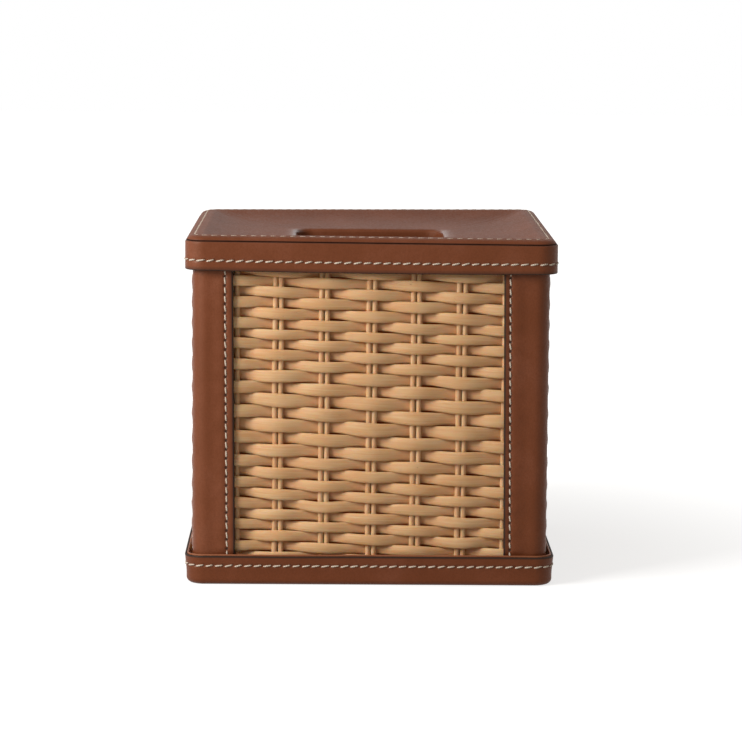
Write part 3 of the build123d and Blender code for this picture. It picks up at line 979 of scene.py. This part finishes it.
# Rings of the hide from its cut edge at the seam: over the rolled border, down the dish, over
# the lip and down the slot's wall, and back underneath.
cut_edge = [(74.6, 141.5), (75.1, 141.5), (75.25, 141.65), (75.42, 141.85)]
inward = [0.0, 0.002, 0.01, 0.03, 0.07, 0.13, 0.2, 0.3, 0.42, 0.54, 0.68, 0.82, 0.93]
border = panel_half - (panel_half - crest_half) * np.array(inward)
border_line = cut_edge + [(half, rolled(half)) for half in border]
top_rings = [*ring(border_line, panel_half, panel_radius)]
dish_from = len(top_rings)
fars = np.concatenate([[0, 0.015, 0.035], np.linspace(0.06, 1, 28)])
top_rings += [dished(far) for far in fars]
dish_to = len(top_rings)
for turn in np.radians(np.linspace(0, 90, 11)[1:]):
    lip_height = top_high - dish_depth - lip_deep * (1 - np.cos(turn)) ** 1.4
    top_rings.append(slot_ring(lip_wide * (1 - np.sin(turn)), lip_height))
top_rings += [slot_ring(0, 136.6), slot_ring(0, 135.7)]
top_rings += [slot_ring(0.2, slot_low), slot_ring(0.9, slot_low), slot_ring(1, 136.6)]
top_rings += [dished(0.94, 5.9), dished(0.5, 4.45), dished(0.0, 2.2)]
top_profile = np.array([np.asarray(r, float) for r in top_rings])
steps_in = np.hypot(np.diff(top_profile[:, 1]), np.diff(top_profile[:, 3]))
length_in = np.append(0, np.cumsum(steps_in))
rolling = slice(len(cut_edge), dish_from)
row_at = np.interp(-row_half, -top_profile[rolling, 0], length_in[rolling])
dip = np.zeros(len(top_profile))
dip[dish_from:dish_to] = np.sin(np.pi * fars) ** 0.7

# Only the lowest rings of the border are painted. The lip at the two ends of the slot, where
# fingers pull the tissues out, is rubbed smooth.
painted = ramp(top_profile[:, 3], seam_level + 0.35, seam_level + 0.1)
painted[len(cut_edge) + 4 :] = 0
rubbed = np.zeros(len(top_profile))
rubbed[dish_to - 3 : dish_to + 9] = np.linspace(0, 1, 12)
to_ends = np.abs(round_square(top_way[0], panel_half, panel_radius)[1][:, 0])
rubbed = rubbed[:, None] * ramp(to_ends, 0.4, 0.95)
from_seam = length_in - row_at
top = swept("lid_top", top_profile, top_way, painted, from_seam, creases, rubbed)
top_pitch = top_way[1] / top_count
top_dye, top_paint = rgb(103, 51, 25), rgb(56, 24, 13)
top.data.materials.append(
    leather("top_hide", top_dye, top_pitch, clouds=0.4, polish=-0.12, paint=top_paint)
)
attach(top, "lid")
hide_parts("lid_top_leather")

top_thread = seam_round(
    "lid_top_stitches", row_half, row_radius, rolled(row_half), top_count,
    0.0, twisted, out_up=True, width=0.46, rise=-0.06,
)
top_thread.data.materials.append(thread)
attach(top_thread, "lid")

# ------------------------------------------------ floor, light and camera
# A grey paper floor that glows white to the camera and in gloss, less near the box, and goes on
# into a white backdrop; one large soft light above on the left, and an even sky. The camera
# has a long lens and looks down a little.


def seen_rays(tree):
    """1 for what the camera sees, straight or by way of gloss or glass, and else 0."""
    rays = place(tree, "ShaderNodeLightPath").outputs
    bent = sums(tree, "MAXIMUM", rays["Is Glossy Ray"], rays["Is Transmission Ray"])
    return sums(tree, "MAXIMUM", rays["Is Camera Ray"], bent)


floor_mesh = bpy.data.meshes.new("floor")
floor_mesh.from_pydata([(-4, -4, 0), (4, -4, 0), (4, 4, 0), (-4, 4, 0)], [], [(0, 1, 2, 3)])
floor = bpy.data.objects.new("floor", floor_mesh)
bpy.context.scene.collection.objects.link(floor)
paper, tree, shader = new_material("glowing_floor_paper")
at = millimetres(tree)
fleck = noise(tree, at, 0.6, 3.0)
part = split(tree, at)
# Painted light: the floor's glow is 0.72 of white near the box, rising to full white from 90 to 330
# mm out, so the shadow shows faintly by the box and fades away further off.
near_box = step(tree, distance(tree, part[0], part[1]), 90.0, 330.0, 0.72, 1.0)
glow = times(tree, seen_rays(tree), near_box)
fill(tree, shader, {
    "Base Color": blend(tree, fleck, (0.43, 0.425, 0.42, 1), (0.45, 0.445, 0.44, 1)),
    "Roughness": 0.9,
    "Specular IOR Level": 0.0,
    "Emission Color": place(tree, "ShaderNodeCombineColor", {0: glow, 1: glow, 2: glow}).outputs[0],
    "Emission Strength": 1.0,
})
floor.data.materials.append(paper)

sky = bpy.data.worlds.new("studio")
bpy.context.scene.world = sky
sky.use_nodes = True
tree = sky.node_tree
seen = seen_rays(tree)
fill(tree, tree.nodes["Background"], {
    "Color": blend(tree, seen, (1, 0.95, 0.88, 1), (1, 1, 1, 1)),
    "Strength": sums(tree, "ADD", 0.35, times(tree, seen, 0.65)),
})

lamp = bpy.data.lights.new("key", "AREA")
lamp.size, lamp.energy = 0.38, 8.0
key = bpy.data.objects.new("key", lamp)
bpy.context.scene.collection.objects.link(key)
key.location = (-0.64, -0.47, 0.455)
key_aim = Vector((0, -0.05, 0.07)) - key.location
key.rotation_euler = key_aim.to_track_quat("-Z", "Y").to_euler()

azimuth, elevation, roll = np.radians([-0.75, 7.536, 0.459])
target, camera_far = Vector((0.00099, 0.0, 0.07934)), 1.3241
level = np.cos(elevation)
away = Vector((np.sin(azimuth) * level, -np.cos(azimuth) * level, np.sin(elevation)))
lens = bpy.data.cameras.new("camera")
lens.lens, lens.sensor_width = 148.1, 36.0
camera = bpy.data.objects.new("camera", lens)
bpy.context.scene.collection.objects.link(camera)
stand = Matrix.Translation(target + camera_far * away)
look = (-away).to_track_quat("-Z", "Y").to_matrix().to_4x4()
camera.matrix_world = stand @ look @ Matrix.Rotation(roll, 4, "Z")
bpy.context.scene.camera = camera
bpy.context.scene.view_settings.view_transform = "Standard"
